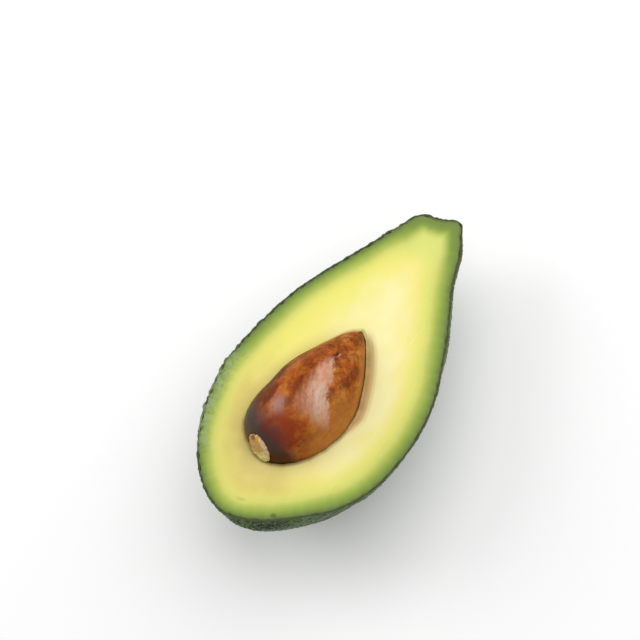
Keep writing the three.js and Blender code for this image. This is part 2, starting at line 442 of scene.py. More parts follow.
class Bench:
    """The mesh steps that the pieces share."""

    @staticmethod
    def pick(*pieces: bpy.types.Object) -> None:
        """Selects these objects and nothing else; the first becomes the active one.

        Args:
            pieces: the objects.
        """
        for other in bpy.context.view_layer.objects:
            other.select_set(False)
        for piece in pieces:
            piece.select_set(True)
        bpy.context.view_layer.objects.active = pieces[0]

    @staticmethod
    def copy(node: Node, name: str) -> bpy.types.Object:
        """A welded copy of a solid, as a new piece.

        Args:
            node: the solid.
            name: the new piece's name.

        Returns:
            The piece.
        """
        piece = bpy.data.objects.new(name, frame["nodes"][node.value].data.copy())
        piece.data.name = name
        piece.data.materials.clear()
        bpy.context.scene.collection.objects.link(piece)
        Bench.pick(piece)
        bpy.ops.mesh.customdata_custom_splitnormals_clear()
        bpy.ops.object.mode_set(mode="EDIT")
        bpy.ops.mesh.select_all(action="SELECT")
        bpy.ops.mesh.remove_doubles(threshold=WELD)
        bpy.ops.object.mode_set(mode="OBJECT")
        return piece

    @staticmethod
    def modify(piece: bpy.types.Object, kind: str, **settings: object) -> None:
        """Adds a modifier and applies it.

        Args:
            piece: the piece.
            kind: the modifier's type.
            settings: its properties.
        """
        Bench.pick(piece)
        modifier = piece.modifiers.new(kind.lower(), kind)
        for name, value in settings.items():
            setattr(modifier, name, value)
        bpy.ops.object.modifier_apply(modifier=modifier.name)

    @staticmethod
    def remesh(piece: bpy.types.Object, size: float) -> None:
        """Gives a closed piece an even mesh, with faces of that size in millimetres."""
        Bench.modify(piece, "REMESH", mode="VOXEL", voxel_size=size * MM, use_smooth_shade=True)

    @staticmethod
    def smooth(piece: bpy.types.Object, rounds: int, strength: float = 0.5) -> None:
        """Evens out a mesh."""
        Bench.modify(piece, "SMOOTH", factor=strength, iterations=rounds)

    @staticmethod
    def shade(piece: bpy.types.Object, degrees: float = 180.0) -> None:
        """Shades a piece smooth, apart from edges sharper than that angle."""
        Bench.pick(piece)
        bpy.ops.object.shade_smooth_by_angle(angle=math.radians(degrees))

    @staticmethod
    def select(piece: bpy.types.Object, chosen: np.ndarray, kind: str = "vertices") -> None:
        """Selects vertices, edges or faces in object mode, and deselects all the rest.

        Args:
            piece: the piece.
            chosen: one true or false for each.
            kind: vertices, edges or polygons.
        """
        for each in ("vertices", "edges", "polygons"):
            elements = getattr(piece.data, each)
            picked = chosen if each == kind else np.zeros(len(elements), bool)
            elements.foreach_set("select", picked)

    @staticmethod
    def edit(piece: bpy.types.Object, mode: str = "VERT") -> None:
        """Opens a piece in edit mode.

        Args:
            piece: the piece.
            mode: what is selected there: VERT, EDGE or FACE.
        """
        Bench.pick(piece)
        modes = [mode == each for each in ("VERT", "EDGE", "FACE")]
        bpy.context.tool_settings.mesh_select_mode = modes
        bpy.ops.object.mode_set(mode="EDIT")

    @staticmethod
    def done() -> None:
        """Closes edit mode."""
        bpy.ops.object.mode_set(mode="OBJECT")


class Relief:
    """A surface's relief, moved in the mesh along its normals by a formula."""

    def __init__(self, name: str) -> None:
        """Starts a relief of that name, which leaves the mesh as it is.

        Args:
            name: the relief's name.
        """
        self.tree = bpy.data.node_groups.new(name, "GeometryNodeTree")
        for way in ("INPUT", "OUTPUT"):
            self.tree.interface.new_socket(
                "Geometry", in_out=way, socket_type="NodeSocketGeometry"
            )
        self.graph = Graph(self.tree)
        self.mesh = self.graph.add("NodeGroupInput")
        self.position = self.graph.add("GeometryNodeInputPosition")
        self.here = CUT.read(self.graph, self.position)

    def near(self, other: bpy.types.Object) -> tuple[Wire, Wire]:
        """The nearest place on another object.

        Args:
            other: the object.

        Returns:
            That place in metres, and how far away it is in millimetres.
        """
        shape = self.graph.add("GeometryNodeObjectInfo", None, {"Object": other}, "Geometry")
        settings = {"target_element": "FACES"}
        place = self.graph.add("GeometryNodeProximity", settings, {0: shape}, "Position")
        return place, place.twin("Distance") * (1 / MM)

    def keep(self, name: str, value: Wire) -> None:
        """Stores a value on every vertex, for the finish to read.

        Args:
            name: the name that the finish reads it by.
            value: the value.
        """
        settings = {"data_type": "FLOAT"}
        values = {"Geometry": self.mesh, "Name": name, "Value": value}
        self.mesh = self.graph.add("GeometryNodeStoreNamedAttribute", settings, values)

    def raise_by(self, height: Wire) -> None:
        """Moves the surface out along its normals, by a height in millimetres."""
        normal = self.graph.add("GeometryNodeInputNormal")
        self.move_by(normal * (height * MM))

    def move_by(self, offset: Wire) -> None:
        """Moves the surface by a vector in metres."""
        values = {"Geometry": self.mesh, "Offset": offset}
        self.mesh = self.graph.add("GeometryNodeSetPosition", None, values)

    def apply(self, piece: bpy.types.Object) -> None:
        """Applies the relief to a piece.

        Args:
            piece: the piece.
        """
        end = self.tree.nodes.new("NodeGroupOutput")
        self.tree.links.new(self.mesh.socket, end.inputs[0])
        Bench.modify(piece, "NODES", node_group=self.tree)
        bpy.data.node_groups.remove(self.tree)


class Finish:
    """A procedural material under construction."""

    def __init__(self, name: str, **constants: object) -> None:
        """Starts a material.

        Args:
            name: its name.
            constants: what the shader's sockets hold all over, with _ for a space.
        """
        self.material = bpy.data.materials.new(name)
        self.material.use_nodes = True
        self.graph = Graph(self.material.node_tree)
        self.shader = self.material.node_tree.nodes["Principled BSDF"]
        for socket, value in constants.items():
            self.graph.feed(self.shader.inputs[socket.replace("_", " ")], value)
        position = self.graph.add("ShaderNodeTexCoord", None, None, "Object")
        self.here = CUT.read(self.graph, position)

    def kept(self, name: str) -> Wire:
        """A value that the relief stored."""
        return self.graph.add("ShaderNodeAttribute", {"attribute_name": name}, None, "Fac")

    def surface(
        self, colour: Wire, roughness: Wire, height: Wire, depth: float
    ) -> bpy.types.Material:
        """Connects the finish.

        Args:
            colour: the base colour.
            roughness: the roughness.
            height: the fine relief, from 0 to 1.
            depth: how deep that relief is, in millimetres.

        Returns:
            The material.
        """
        values = {"Strength": 1.0, "Distance": depth * MM, "Height": height}
        bump = self.graph.add("ShaderNodeBump", None, values, "Normal")
        for name, value in {"Base Color": colour, "Roughness": roughness, "Normal": bump}.items():
            self.graph.feed(self.shader.inputs[name], value)
        return self.material


def hand_over(
    piece: bpy.types.Object, node: Node, material: bpy.types.Material
) -> None:
    """Gives a finished piece its material and its body, and hides the solid that it takes the
    place of.

    Args:
        piece: the finished piece.
        node: the solid that it takes the place of.
        material: the material.
    """
    piece.data.materials.clear()
    piece.data.materials.append(material)
    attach(piece, BODY)
    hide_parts(node.value)
    low, high = (np.round(f(points_of(piece), 0) / MM, 1).tolist() for f in (np.min, np.max))
    log.info("%s: %d faces, %s to %s mm", piece.name, len(piece.data.polygons), low, high)


@dataclass(frozen=True)
class Outline:
    """Small turns of the fruit's outline that the peel and the flesh share, in millimetres."""

    neck_at: float = 54.0
    neck_reach: float = 8.5
    neck_out: float = 1.1
    knob_size: float = 2.4
    torn_out: float = 0.55
    corner: tuple[float, float, float] = (2.8, 63.0, 0.0)
    corner_reach: float = 4.2
    corner_out: tuple[float, float, float] = (0.3, 0.95, 0.0)
    flank_in: float = 2.15
    base_at: float = 9.0
    base_reach: float = 17.0
    base_out: float = 2.4

    @staticmethod
    def torn(graph: Graph, here: Wire) -> Wire:
        """Where the rim is torn and knobbly: the left side below the middle."""
        x, y, z = graph.parts(here)
        return x.step(-12.0, -20.0) * y.span(-44.0, -35.0, -14.0, -3.0) * z.step(-7.0, -1.0)

    def shift(self, graph: Graph, here: Wire) -> Wire:
        """The move that turns the neck, the tip's corner, the torn rim, the flank and the base.

        Args:
            graph: the relief's tree.
            here: the place on the cut's axes.

        Returns:
            The move, in metres.
        """
        x, y, z = graph.parts(here)
        waist = (y - self.neck_at).bell(0.0, self.neck_reach) * x.step(-3.0, -10.0)
        neck = waist * z.step(-14.0, -4.0) * self.neck_out
        lumps = graph.noise(here, self.knob_size, 2.0, 0.6) - 0.42
        knobs = lumps * self.torn(graph, here) * (2.0 * self.torn_out)
        side = x.step(14.0, 27.0) * y.span(-41.0, -27.0, 12.0, 30.0)
        flank = side * z.span(-29.0, -15.0, -6.5, 0.5) * self.flank_in
        blunt = (x - self.base_at).bell(0.0, self.base_reach) * y.step(-28.0, -40.0)
        base = blunt * z.span(-26.0, -12.0, -4.0, 0.0) * self.base_out
        corner = (here - self.corner).length().step(self.corner_reach, 0.3)
        sides = graph.join((neck + knobs + flank) * -MM, base * -MM, 0.0)
        return sides + graph.join(*self.corner_out) * (corner * MM)


OUTLINE = Outline()


@dataclass(frozen=True)
class PeelFinish:
    """Dark green leathery peel: wrinkled tops, painted shade in the furrows, a painted sheen on
    the tops, and pin specks.
    """

    # Painted shade for the furrows.
    painted_furrow_shade: Colour = paint("1e2c0c")
    green: Colour = paint("3c5a1e")
    bright: Colour = paint("587f24")
    # A painted sheen for the wrinkle tops.
    painted_sheen: Colour = paint("8c9f74")
    speck: Colour = paint("93a163")
    cut: Colour = paint("44501f")
    torn: Colour = paint("8c9c70")
    cut_depth: float = 0.3
    patch: float = 15.0
    wrinkle: float = 0.95
    crumple: float = 0.8
    stretch: float = 0.42
    pin: float = 1.5
    pore: float = 0.55
    grain: float = 0.35
    depth: float = 0.4

    def build(self) -> bpy.types.Material:
        """Returns the material."""
        finish = Finish(
            "peel_skin", Specular_IOR_Level=0.3, Coat_Weight=0.12, Coat_Roughness=0.2
        )
        graph, here = finish.graph, finish.here
        fine = self._wrinkles(graph, here)
        calm = graph.noise(here, 11.0, 2.0).step(0.3, 0.55) * 0.6 + 0.4
        tops = finish.kept("relief").step(0.05, 0.9) * 0.5 + fine.step(0.1, 0.75) * 0.5
        patches = graph.noise(here, self.patch, 3.0, 0.55).step(0.4, 0.62)
        sheen_on_tops = graph.noise(here, 12.0, 4.0, 0.6).step(0.3, 0.65) * fine.step(0.35, 0.95)
        pins = graph.cells(graph.stray(here, 2.0, 0.5), self.pin).step(0.2, 0.1)
        rare = graph.noise(here, 5.0, 1.0).step(0.42, 0.62)
        torn = Outline.torn(graph, here)
        knobbly = torn * graph.noise(here, 2.6, 3.0).step(0.35, 0.6)
        sheared = torn * graph.noise(here, 1.6, 3.0).step(0.4, 0.6)
        edge = (knobbly * 0.9).mix(self.cut, self.torn)
        at_cut = graph.parts(here)[2].step(-self.cut_depth, -0.5 * self.cut_depth)
        # The darkest coat is painted shade in the furrows, and the pale coat on the wrinkle tops
        # is a painted sheen.
        colour = patches.mix(self.green, self.bright).under(
            ((1.0 - tops) * calm, self.painted_furrow_shade),
            (sheen_on_tops * 0.6, self.painted_sheen),
            (pins * rare * 0.6, self.speck),
            (sheared * 0.7, edge),
            (at_cut, edge),
        )
        grain = graph.noise(here, self.grain, 3.0, 0.6)
        pores = graph.cells(here, self.pore, Cell.BORDER).step(0.0, 0.16)
        roughness = 0.3 + grain * 0.14 + (1.0 - tops) * 0.16
        height = fine * calm + pores * 0.12 + grain * 0.2
        return finish.surface(colour, roughness, height, self.depth)

    def _wrinkles(self, graph: Graph, here: Wire) -> Wire:
        """The fine wrinkles, drawn out across the fruit, from 0 to 1.

        Args:
            graph: the tree to build in.
            here: the place on the cut's axes.

        Returns:
            The wrinkles.
        """
        place = graph.stray(graph.stray(here, 5.0, 1.2), 1.5, 0.35) * (1.0, self.stretch, 1.0)
        ridge = 1.0 - (graph.cells(place, self.wrinkle) * 1.2).least(1.0)
        crease = graph.cells(place, self.wrinkle, Cell.BORDER).step(0.0, 0.3)
        crumple = graph.noise(place, self.crumple, 2.0).step(0.36, 0.66)
        return ridge * 0.3 + crease * 0.25 + crumple * 0.45


@dataclass
class Peel:
    """The thin leathery skin round the outside of the half."""

    finish: PeelFinish = field(default_factory=PeelFinish)
    sink: float = 0.1
    thinning: float = 0.4
    furrow_depth: float = 0.2
    calming: int = 2
    stretch: float = 0.5
    pebble: float = 1.4
    pebble_height: float = 0.62
    swell: float = 7.0
    swell_height: float = 0.22
    gather_height: float = 0.16
    scar_below: float = 3.7
    hole: float = 2.75
    cut_band: float = 0.02
    wrinkles: int = 15
    levels: int = 2

    def split(self) -> tuple[bpy.types.Object, bpy.types.Object]:
        """Takes the solid's outer and inner surfaces apart.

        Returns:
            The outside and the inside, both open at the cut.
        """
        whole = Bench.copy(Node.PEEL, "skin")
        Bench.select(whole, self._walls(whole), "polygons")
        Bench.edit(whole, "FACE")
        bpy.ops.mesh.delete(type="FACE")
        bpy.ops.mesh.select_all(action="SELECT")
        bpy.ops.mesh.separate(type="LOOSE")
        Bench.done()
        shells = bpy.context.selected_objects
        outside, inside = sorted(shells, key=lambda shell: -len(shell.data.polygons))
        for shell in (outside, inside):
            self._fill_hole(shell)
        return outside, inside

    def build(self, outside: bpy.types.Object, inside: bpy.types.Object) -> bpy.types.Object:
        """Builds the peel from its solid's two surfaces.

        Args:
            outside: the outer surface.
            inside: the inner surface.

        Returns:
            The finished piece.
        """
        Bench.smooth(outside, self.calming)
        Bench.modify(outside, "SUBSURF", levels=self.levels, render_levels=self.levels)
        self._relief().apply(outside)
        thinner = Relief("inner_wall")
        thinner.raise_by(-self.thinning)
        thinner.move_by(OUTLINE.shift(thinner.graph, thinner.here))
        thinner.apply(inside)
        for shell in (outside, inside):
            self._level(shell)
        self._close(outside, inside)
        outside.name = outside.data.name = "skin"
        Bench.shade(outside, CRISP)
        hand_over(outside, Node.PEEL, self.finish.build())
        return outside

    def _walls(self, piece: bpy.types.Object) -> np.ndarray:
        """The faces of the cut edge and of the hole for the stem scar, one true or false each.

        Args:
            piece: the solid peel.

        Returns:
            The faces.
        """
        ends = (CUT.heights(piece) > -self.cut_band, self._at_scar(piece))
        faces = (list(face.vertices) for face in piece.data.polygons)
        return np.array([any(end[face].all() for end in ends) for face in faces])

    def _at_scar(self, piece: bpy.types.Object) -> np.ndarray:
        """The vertices on the edge of the hole for the stem scar, one true or false each.

        Args:
            piece: the mesh.

        Returns:
            The vertices.
        """
        low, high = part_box(Node.SCAR.value)
        axis = np.array(CUT.turn)[:, 1]
        offsets = points_of(piece) - np.array((low + high) / 2)
        across = offsets - np.outer(offsets @ axis, axis)
        return np.linalg.norm(across, axis=1) < self.hole * MM

    def _fill_hole(self, shell: bpy.types.Object) -> None:
        """Closes the hole that the stem scar covers.

        Args:
            shell: the outside or the inside of the peel.
        """
        Bench.select(shell, rim_of(shell) & self._at_scar(shell))
        Bench.edit(shell)
        bpy.ops.mesh.edge_face_add()
        Bench.done()

    def _relief(self) -> Relief:
        """The pebbles, the broad swells and the wrinkles that run in to the stem.

        Returns:
            The relief, to be applied.
        """
        relief = Relief("peel_relief")
        graph, here = relief.graph, relief.here
        x, y, z = graph.parts(here)
        pebbles = self._pebbles(graph, here)
        rough_side = x.step(-12.0, -26.0) * y.span(-50.0, -36.0, -4.0, 12.0)
        strength = graph.noise(here, 14.0, 1.0).step(0.3, 0.62) * 0.6 + 0.4 + rough_side * 0.5
        swell = graph.noise(here * (1.0, 0.7, 1.0), self.swell, 2.0) - 0.5
        across, down = x + 3.0, z + self.scar_below
        radius = (across * across + down * down).call("SQRT")
        turn = across.call("ARCTAN2", down)
        gathers = (turn * float(self.wrinkles) + graph.noise(here, 3.0) * 3.0).call("SINE")
        stem = y.step(54.0, 60.0)
        calm = 1.0 - stem * radius.step(9.0, 3.0) * 0.8
        height = (
            (pebbles - 0.6) * (self.pebble_height * strength * calm)
            + swell * (2.0 * self.swell_height)
            + stem * radius.bell(5.0, 4.5) * gathers * self.gather_height
        )
        relief.keep("relief", pebbles * (0.35 + 0.65 * strength))
        relief.raise_by(height.most(-self.furrow_depth))
        relief.move_by(OUTLINE.shift(graph, here))
        return relief

    def _pebbles(self, graph: Graph, here: Wire) -> Wire:
        """The pebbles, drawn out across the fruit, from about 0 to 1.

        Args:
            graph: the tree to build in.
            here: the place on the cut's axes.

        Returns:
            The pebbles.
        """
        place = graph.stray(graph.stray(here, 5.0, 1.2), 1.6, 0.35) * (1.0, self.stretch, 1.0)
        dome = 1.0 - (graph.cells(place, self.pebble) * 1.15).least(1.0) ** 2.0
        valley = graph.cells(place, self.pebble, Cell.BORDER).step(0.0, 0.45)
        crumple = graph.noise(place, self.pebble * 0.7, 3.0, 0.6)
        return dome * 0.5 + valley * 0.25 + crumple * 0.5 - 0.12

    def _level(self, shell: bpy.types.Object) -> None:
        """Keeps a shell above the table, and its border a little below the cut face.

        Args:
            shell: the outside or the inside of the peel.
        """
        points = points_of(shell)
        over = CUT.heights(shell) + self.sink
        over[~rim_of(shell)] = np.maximum(over[~rim_of(shell)], 0.0)
        points -= over[:, None] * np.array(CUT.turn)[:, 2] * MM
        points[:, 2] = np.maximum(points[:, 2], 0.0)
        place_points(shell, points)

    @staticmethod
    def _close(outside: bpy.types.Object, inside: bpy.types.Object) -> None:
        """Joins the two shells along the cut.

        Args:
            outside: the outer shell, which takes in the other.
            inside: the inner shell.
        """
        Bench.pick(outside, inside)
        bpy.ops.object.join()
        Bench.select(outside, rim_of(outside))
        Bench.edit(outside)
        bpy.ops.mesh.bridge_edge_loops()
        bpy.ops.mesh.select_all(action="SELECT")
        bpy.ops.mesh.normals_make_consistent(inside=False)
        Bench.done()


def rim_of(piece: bpy.types.Object) -> np.ndarray:
    """The vertices on a mesh's open border, one true or false each.

    Args:
        piece: the mesh.

    Returns:
        The vertices.
    """
    mesh = piece.data
    loops = np.empty(len(mesh.loops), int)
    mesh.loops.foreach_get("edge_index", loops)
    used = np.bincount(loops, minlength=len(mesh.edges))
    ends = np.empty(len(mesh.edges) * 2, int)
    mesh.edges.foreach_get("vertices", ends)
    chosen = np.zeros(len(mesh.vertices), bool)
    chosen[ends.reshape(-1, 2)[used == 1].ravel()] = True
    return chosen


@dataclass(frozen=True)
class FleshFinish:
    """Buttery flesh: green under the peel, through yellow to cream in the middle."""

    layers: Stops = (
        (0.0375, paint("617238")),
        (0.0625, paint("708439")),
        (0.1, paint("7e9638")),
        (0.15, paint("8fa73f")),
        (0.2, paint("a3b649")),
        (0.25, paint("b9c458")),
        (0.31, paint("d4d76a")),
        (0.4, paint("e5e274")),
        (0.525, paint("efe77a")),
        (0.675, paint("f8ea8a")),
        (1.0, paint("f7eca2")),
    )
    reach: float = 20.0
    drag: float = 0.9
    grain: float = 0.5
    relief: float = 0.04
    yellow: Colour = paint("f3ee74")
    cream: Colour = paint("fcf4b2")
    ochre: Colour = paint("d8c068")
    lime: Colour = paint("dde27a")
    nick: Colour = paint("8f8c3e")
    mark: Colour = paint("54602a")
    # A brown painted shadow round the seed.
    painted_seed_shadow: Colour = paint("8a7038")
    lip: Colour = paint("e0c38a")
    streak: Colour = paint("fbf6c0")
    shade: Colour = paint("c9ae5a")
    torn: Colour = paint("9caf78")

    def build(self) -> bpy.types.Material:
        """Returns the material."""
        finish = Finish(
            "moist_flesh",
            Specular_IOR_Level=0.3,
            Subsurface_Weight=0.06,
            Subsurface_Radius=(1.0, 0.85, 0.35),
            Subsurface_Scale=0.0015,
            Coat_Weight=0.08,
            Coat_Roughness=0.25,
        )
        graph, here = finish.graph, finish.here
        depth, gap = finish.kept("skin_depth"), finish.kept("seed_gap")
        clouds = graph.noise(here, 9.0, 2.0)
        colour = self._layered(graph, here, depth).under(
            *self._wear(graph, here, depth),
            *self._tints(graph, here, depth, clouds),
            *self._shades(graph, here, depth, gap),
            *self._marks(graph, here, clouds),
            *self._rim(graph, here, gap),
        )
        drag = graph.noise(here * (0.12, 1.0, 1.0), self.drag, 2.0)
        grain = graph.noise(here, self.grain, 3.0)
        roughness = 0.4 + graph.noise(here, 5.0, 2.0) * 0.16
        return finish.surface(colour, roughness, drag * 0.5 + grain * 0.5, self.relief)

    def _layered(self, graph: Graph, here: Wire, depth: Wire) -> Wire:
        """The layers in from the peel, which wander a little and widen here and there.

        Args:
            graph: the finish's tree.
            here: the place on the cut's axes.
            depth: how deep below the peel that is, in millimetres.

        Returns:
            The colour.
        """
        x, y, _ = graph.parts(here)
        torn = Outline.torn(graph, here)
        wander = (graph.noise(here * (1.0, 0.5, 1.0), 7.0, 3.0) - 0.5) * 1.8
        knobs = (graph.noise(here, 2.2, 3.0, 0.6) - 0.45) * torn * 4.0
        upper_left = x.step(8.0, -10.0) * y.span(6.0, 26.0, 44.0, 56.0)
        tip, foot = y.step(44.0, 58.0), y.step(-34.0, -46.0)
        widened = upper_left * 0.5 + foot * 0.6 + torn * 0.3 - tip * 1.2
        place = (
            depth
            + wander * depth.step(0.8, 3.5)
            + knobs * depth.span(0.3, 1.0, 3.0, 7.0)
            + widened * depth.step(1.0, 3.5)
        )
        return (place * (1.0 / self.reach)).ramp(self.layers)

    def _wear(self, graph: Graph, here: Wire, depth: Wire) -> Coats:
        """The greyed and bruised strip along the torn rim.

        Args:
            graph: the tree to build in.
            here: the place on the cut's axes.
            depth: how deep below the peel that is, in millimetres.

        Returns:
            Masks, each with the colour that it shows.
        """
        edge = depth + (graph.noise(here, 2.0, 3.0) - 0.5) * 3.0
        ragged = Outline.torn(graph, here) * edge.step(4.2, 3.0)
        greyed = ragged * (graph.noise(here, 1.7, 3.0).step(0.38, 0.6) * 0.55 + 0.2)
        bruised = ragged * graph.noise(here, 1.9, 3.0, 0.6).step(0.55, 0.68)
        return (greyed, self.torn), (bruised * 0.6, self.mark)

    def _tints(self, graph: Graph, here: Wire, depth: Wire, clouds: Wire) -> Coats:
        """Yellow on the left, lime at the tip, cream in the middle and ochre at the lower left;
        the ochre is partly the flesh's own colour and partly painted shade, and the cream,
        stronger to the right and up, is partly painted light.

        Args:
            graph: the tree to build in.
            here: the place on the cut's axes.
            depth: how deep below the peel that is, in millimetres.
            clouds: a cloudy pattern, which makes the borders stray.

        Returns:
            Masks, each with the colour that it shows.
        """
        x, y, _ = graph.parts(here)
        warm = depth.step(5.0, 10.0) * x.step(8.0, -10.0) * y.span(-20.0, 0.0, 36.0, 50.0)
        lime = y.step(44.0, 54.0) * depth.step(3.5, 8.0)
        cream = graph.noise(here * (1.0, 0.6, 1.0), 11.0, 3.0).step(0.25, 0.65)
        heart = depth.step(8.0, 15.0) * y.step(46.0, 34.0)
        # The cream grows towards the right and the tip: partly the flesh's own pale heart, partly
        # painted light.
        creamy = cream * heart * (x * 0.05 + y * 0.03 + 0.5).step(0.0, 1.1)
        # The ochre at the lower left is partly the flesh's own colour and partly painted shade.
        low_left = (x * -0.62 - y * 0.78 + clouds * 12.0).step(16.0, 36.0)
        ochre_and_shade = low_left * (0.7 + 0.3 * clouds.step(0.35, 0.6)) * depth.step(5.0, 11.0)
        return (
            (warm * 0.6, self.yellow),
            (lime * 0.85, self.lime),
            (creamy, self.cream),
            (ochre_and_shade * 0.65, self.ochre),
        )

    def _shades(self, graph: Graph, here: Wire, depth: Wire, gap: Wire) -> Coats:
        """A painted shade along the left of the seed, and pale streaks along the right.

        Args:
            graph: the tree to build in.
            here: the place on the cut's axes.
            depth: how deep below the peel that is, in millimetres.
            gap: how far from the seed that is, in millimetres.

        Returns:
            Masks, each with the colour that it shows.
        """
        x, y, _ = graph.parts(here)
        # Painted shade on the flesh left of the seed.
        painted_shade_left = x.step(8.0, -10.0) * gap.step(6.0, 0.5) * y.span(-40.0, -24.0, 4.0, 22.0)
        lines = graph.noise(here * (1.3, 0.08, 1.0), 1.4, 3.0).step(0.55, 0.75)
        streaks = lines * depth.step(4.0, 8.0) * x.step(2.0, 12.0)
        return (painted_shade_left * 0.45, self.shade), (streaks * 0.22, self.streak)

    def _marks(self, graph: Graph, here: Wire, clouds: Wire) -> Coats:
        """The short nick in the face and the chip in its lower border.

        Args:
            graph: the tree to build in.
            here: the place on the cut's axes.
            clouds: a cloudy pattern, which makes the borders stray.

        Returns:
            Masks, each with the colour that it shows.
        """
        x, y, z = graph.parts(here)
        ring = graph.join(x + 3.0, (y + 43.0) * 1.2, 0.0).length() - 5.0 + (clouds - 0.5)
        nick = ring.bell(0.0, 1.1) * (x + 1.2).bell(0.0, 2.6) * y.step(-45.0, -46.5)
        chip = graph.join(x - 11.0, y + 45.6, z * 0.5).length() + (clouds - 0.5) * 2.0
        return (nick * 0.3, self.nick), (chip.step(1.5, 0.5) * 0.85, self.mark)

    def _rim(self, graph: Graph, here: Wire, gap: Wire) -> Coats:
        """The pale lip on the hollow's open side, and a brown painted shadow round the seed,
        weaker on the open side.

        Args:
            graph: the tree to build in.
            here: the place on the cut's axes.
            gap: how far from the seed that is, in millimetres.

        Returns:
            Masks, each with the colour that it shows.
        """
        open_side = Flesh.lip_of(graph, here)
        lip = open_side * gap.step(2.3, 1.5)
        # Painted shadow: brown in a narrow ring where the flesh meets the seed.
        painted_seed_shadow = gap.step(1.5, 0.2) * (0.4 + 0.6 * graph.noise(here, 4.0, 2.0).step(0.2, 0.7))
        return (lip * 0.9, self.lip), (painted_seed_shadow * (0.85 - 0.4 * open_side), self.painted_seed_shadow)


@dataclass
class Flesh:
    """The flesh: filled out to the peel, with its hollow drawn in to the seed."""

    finish: FleshFinish = field(default_factory=FleshFinish)
    voxel: float = 0.5
    rounds: int = 2
    evening: float = 0.4
    near_cut: float = 0.6
    growth: float = 0.65
    rim_growth: float = 0.28
    wave: float = 0.16
    seed_hold: float = 0.06
    lip_reach: float = 0.7
    lip_drop: float = 1.5
    knob_size: float = 1.7
    knob_height: float = 1.4

    def build(self, outside: bpy.types.Object, stone: bpy.types.Object) -> bpy.types.Object:
        """Builds the flesh.

        Args:
            outside: the outer surface of the solid peel, for measuring from.
            stone: the solid seed.

        Returns:
            The finished piece.
        """
        piece = Bench.copy(Node.FLESH, "flesh_half")
        Bench.remesh(piece, self.voxel)
        self._level(piece)
        Bench.smooth(piece, self.rounds, self.evening)
        self._relief(outside, stone).apply(piece)
        Bench.shade(piece, CRISP)
        hand_over(piece, Node.FLESH, self.finish.build())
        return piece

    @staticmethod
    def lip_of(graph: Graph, here: Wire) -> Wire:
        """Where the hollow's edge is drawn back from the seed: to the right and round the tip."""
        x, y, _ = graph.parts(here)
        return (x + y * 0.35).step(5.0, 10.0) * y.span(-14.0, -5.0, 20.0, 26.0)

    def _level(self, piece: bpy.types.Object) -> None:
        """Brings the cut face's vertices exactly into the cut.

        Args:
            piece: the flesh.
        """
        heights = CUT.heights(piece)
        points = points_of(piece)
        near = np.where(heights > -self.near_cut * self.voxel, heights, 0.0)
        points -= near[:, None] * np.array(CUT.turn)[:, 2] * MM
        place_points(piece, points)

    def _relief(self, outside: bpy.types.Object, stone: bpy.types.Object) -> Relief:
        """Fills the flesh out to the peel and the seed, and gives the cut its slight waves.

        Args:
            outside: the outer surface of the solid peel.
            stone: the solid seed.

        Returns:
            The relief, to be applied.
        """
        relief = Relief("flesh_relief")
        graph, here = relief.graph, relief.here
        wall, to_wall = relief.near(outside)
        seed_side, gap = relief.near(stone)
        z = graph.parts(here)[2]
        push = to_wall.step(3.6, 1.0) * (z.step(-1.6, -0.5) * self.rim_growth + self.growth)
        lip = self.lip_of(graph, here)
        drawn_back = lip * self.lip_reach * z.step(-6.0, -3.0)
        hold = gap.step(2.4, 0.5) * (gap - self.seed_hold + drawn_back)
        wave = (graph.noise(here, 16.0, 2.0) - 0.5) * self.wave
        brink = lip * gap.step(3.2, 0.4) * self.lip_drop
        lumps = graph.noise(here, self.knob_size, 3.0, 0.6) - 0.5
        knobs = lumps * Outline.torn(graph, here) * to_wall.step(4.5, 3.0) * self.knob_height
        lift = (wave - brink + knobs) * z.step(-0.4, 0.0)
        outward, inward = (wall - relief.position).unit(), (seed_side - relief.position).unit()
        relief.keep("skin_depth", to_wall - push)
        relief.keep("seed_gap", gap - hold)
        move = outward * push + inward * hold + graph.join(0.0, 0.0, lift)
        relief.move_by(move * MM + OUTLINE.shift(graph, here))
        return relief


